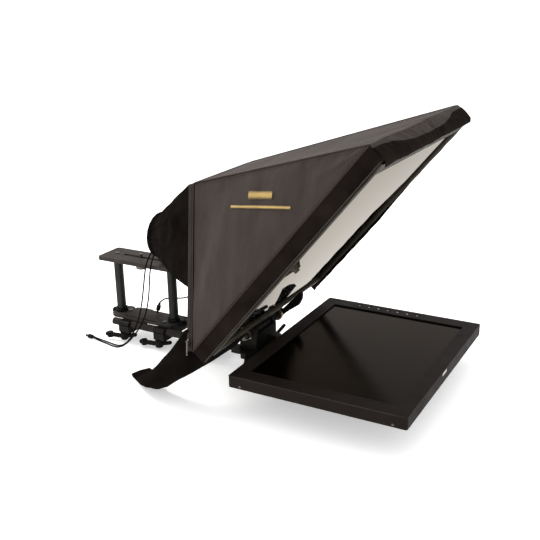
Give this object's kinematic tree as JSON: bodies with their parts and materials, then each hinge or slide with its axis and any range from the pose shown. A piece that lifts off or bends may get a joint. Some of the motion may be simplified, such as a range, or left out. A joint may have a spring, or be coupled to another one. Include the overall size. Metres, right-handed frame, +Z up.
{
  "type": "teleprompter",
  "caption": "Camera teleprompter on a rod rig: face-up monitor, tilted beam-splitter glass in a folding frame, fabric hood with a lens sock, and a camera riser.",
  "frame": {"origin": "centre of the object's footprint at table level, midway along the rods' direction", "axes": "+X along the rods towards the talent, +Y to the camera operator's left, +Z up"},
  "size_m": [0.7697, 0.4264, 0.4912],
  "materials": {
    "black_anodised": "satin black anodised, fine machined grain",
    "rod_finish": "satin black anodised rod",
    "post_finish": "satin dark grey-green",
    "deck_finish": "brushed dark anodised",
    "lever_black": "textured black",
    "zinc_screw": "blackened steel",
    "steel": "polished steel",
    "frame_bronze": "satin dark bronze anodised",
    "brass_ring": "satin brass",
    "monitor_plastic": "fine-grained dark plastic",
    "screen_glass": "glossy dark screen",
    "circuit_board": "solder mask green",
    "beamsplitter": "half-silvered glass",
    "hood_fabric": "coated nylon, dark grey-brown",
    "hem_fabric": "black flocked webbing",
    "sock_fabric": "black brushed cloth",
    "zip_tape": "woven zip tape",
    "zip_metal": "nickel",
    "cord_black": "woven elastic cord"
  },
  "bodies": {
    "rails": {"rail_rods": "rod_finish", "tripod_block": "black_anodised"},
    "riser": {"riser_clamp_rear": "black_anodised", "riser_clamp_front": "black_anodised", "riser_base_plate": "deck_finish", "riser_screws": "zinc_screw", "riser_post_rear": "post_finish", "riser_post_front": "post_finish", "post_collars": "black_anodised", "camera_plate": "deck_finish", "tether_cord": "cord_black", "cord_lock_tether": "lever_black"},
    "wing_lever_rear": {"wing_lever_rear": "lever_black"},
    "wing_lever_front": {"wing_lever_front": "lever_black"},
    "post_knob_rear": {"post_knob_rear": "lever_black"},
    "post_knob_front": {"post_knob_front": "lever_black"},
    "camera_screw_carriage": {"camera_screw_washer": "zinc_screw"},
    "camera_screw": {"camera_screw": "steel"},
    "bracket": {"front_clamp_block": "black_anodised", "tilt_bracket": "black_anodised", "hinge_pin": "steel", "tilt_washers": "brass_ring", "monitor_tray": "black_anodised", "monitor_screws": "zinc_screw", "monitor_rear_cover": "monitor_plastic", "monitor_bezel": "monitor_plastic", "lcd_panel": "screen_glass", "monitor_boards": "circuit_board", "monitor_sockets": "steel"},
    "tilt_knob": {"tilt_knob": "steel"},
    "front_clamp_lever": {"front_clamp_lever": "lever_black"},
    "glass_frame": {"frame_foot": "black_anodised", "frame_bottom_rail": "frame_bronze", "frame_top_rail": "frame_bronze", "frame_rail_left": "frame_bronze", "frame_rail_right": "frame_bronze", "beamsplitter_glass": "beamsplitter", "hood_side_left": "hood_fabric", "hood_side_right": "hood_fabric", "hood_top": "hood_fabric", "hood_hem": "hem_fabric", "zip_tapes": "zip_tape", "rear_sock": "sock_fabric", "sock_collar": "sock_fabric", "lower_flap": "sock_fabric", "sock_cord_a": "cord_black", "sock_cord_b": "cord_black", "cord_lock_sock": "lever_black"},
    "tilt_lever": {"tilt_lever": "lever_black"},
    "glass_clip": {"glass_clip": "frame_bronze"},
    "zipper_slider": {"zipper_slider": "zip_metal"},
    "zipper_pull": {"zipper_pull": "zip_metal"},
    "monitor_key_1": {"monitor_key_1": "monitor_plastic"},
    "monitor_key_2": {"monitor_key_2": "monitor_plastic"},
    "monitor_key_3": {"monitor_key_3": "monitor_plastic"},
    "monitor_key_4": {"monitor_key_4": "monitor_plastic"},
    "monitor_key_5": {"monitor_key_5": "monitor_plastic"},
    "monitor_key_6": {"monitor_key_6": "monitor_plastic"},
    "monitor_key_7": {"monitor_key_7": "monitor_plastic"}
  },
  "joints": [
    {"name": "riser_slide", "type": "slide", "parent": "rails", "child": "riser", "axis": [1, 0, 0], "range_m": [0, 0.015]},
    {"name": "wing_lever_rear_turn", "type": "hinge", "parent": "riser", "child": "wing_lever_rear", "pos_m": [-0.3115, -0.036, 0.0125], "axis": [0, 0, 1], "range_deg": [-35, 35]},
    {"name": "wing_lever_front_turn", "type": "hinge", "parent": "riser", "child": "wing_lever_front", "pos_m": [-0.2225, -0.036, 0.0125], "axis": [0, 0, 1], "range_deg": [-35, 35]},
    {"name": "post_knob_rear_turn", "type": "hinge", "parent": "riser", "child": "post_knob_rear", "pos_m": [-0.3553, 0, 0.05025], "axis": [-1, 0, 0], "continuous": true},
    {"name": "post_knob_front_turn", "type": "hinge", "parent": "riser", "child": "post_knob_front", "pos_m": [-0.1947, 0, 0.05025], "axis": [1, 0, 0], "continuous": true},
    {"name": "camera_screw_slide", "type": "slide", "parent": "riser", "child": "camera_screw_carriage", "axis": [1, 0, 0], "range_m": [-0.035, 0.045]},
    {"name": "camera_screw_turn", "type": "hinge", "parent": "camera_screw_carriage", "child": "camera_screw", "pos_m": [-0.282, 0, 0.172], "axis": [0, 0, 1], "continuous": true},
    {"name": "bracket_slide", "type": "slide", "parent": "rails", "child": "bracket", "axis": [1, 0, 0], "range_m": [0, 0.035]},
    {"name": "tilt_knob_turn", "type": "hinge", "parent": "bracket", "child": "tilt_knob", "pos_m": [0.005, -0.0644, 0.087], "axis": [0, -1, 0], "continuous": true},
    {"name": "front_clamp_lever_turn", "type": "hinge", "parent": "bracket", "child": "front_clamp_lever", "pos_m": [0, 0.05, 0.04], "axis": [0, 1, 0], "range_deg": [-60, 60]},
    {"name": "monitor_key_1_press", "type": "slide", "parent": "bracket", "child": "monitor_key_1", "axis": [0, 0, -1], "range_m": [0, 0.0008], "stiffness_N_per_m": 400, "springref_m": -0.0005},
    {"name": "monitor_key_2_press", "type": "slide", "parent": "bracket", "child": "monitor_key_2", "axis": [0, 0, -1], "range_m": [0, 0.0008], "stiffness_N_per_m": 400, "springref_m": -0.0005},
    {"name": "monitor_key_3_press", "type": "slide", "parent": "bracket", "child": "monitor_key_3", "axis": [0, 0, -1], "range_m": [0, 0.0008], "stiffness_N_per_m": 400, "springref_m": -0.0005},
    {"name": "monitor_key_4_press", "type": "slide", "parent": "bracket", "child": "monitor_key_4", "axis": [0, 0, -1], "range_m": [0, 0.0008], "stiffness_N_per_m": 400, "springref_m": -0.0005},
    {"name": "monitor_key_5_press", "type": "slide", "parent": "bracket", "child": "monitor_key_5", "axis": [0, 0, -1], "range_m": [0, 0.0008], "stiffness_N_per_m": 400, "springref_m": -0.0005},
    {"name": "monitor_key_6_press", "type": "slide", "parent": "bracket", "child": "monitor_key_6", "axis": [0, 0, -1], "range_m": [0, 0.0008], "stiffness_N_per_m": 400, "springref_m": -0.0005},
    {"name": "monitor_key_7_press", "type": "slide", "parent": "bracket", "child": "monitor_key_7", "axis": [0, 0, -1], "range_m": [0, 0.0008], "stiffness_N_per_m": 400, "springref_m": -0.0005},
    {"name": "glass_frame_tilt", "type": "hinge", "parent": "bracket", "child": "glass_frame", "pos_m": [0.005, 0, 0.087], "axis": [0, 1, 0], "range_deg": [0, 30]},
    {"name": "tilt_lever_turn", "type": "hinge", "parent": "glass_frame", "child": "tilt_lever", "pos_m": [0.005, 0.063, 0.087], "axis": [0, 1, 0], "range_deg": [0, 6]},
    {"name": "glass_clip_turn", "type": "hinge", "parent": "glass_frame", "child": "glass_clip", "pos_m": [0.17301, -0.198, 0.28776], "axis": [0.7683, 0, -0.6401], "range_deg": [0, 90]},
    {"name": "zipper_travel", "type": "slide", "parent": "glass_frame", "child": "zipper_slider", "axis": [-0.1928, 0.3876, 0.9014], "range_m": [0, 0.25]},
    {"name": "zipper_pull_swing", "type": "hinge", "parent": "zipper_slider", "child": "zipper_pull", "pos_m": [-0.03115, -0.20599, 0.12457], "axis": [-0.912, 0.2683, -0.3104], "range_deg": [0, 80]}
  ]
}
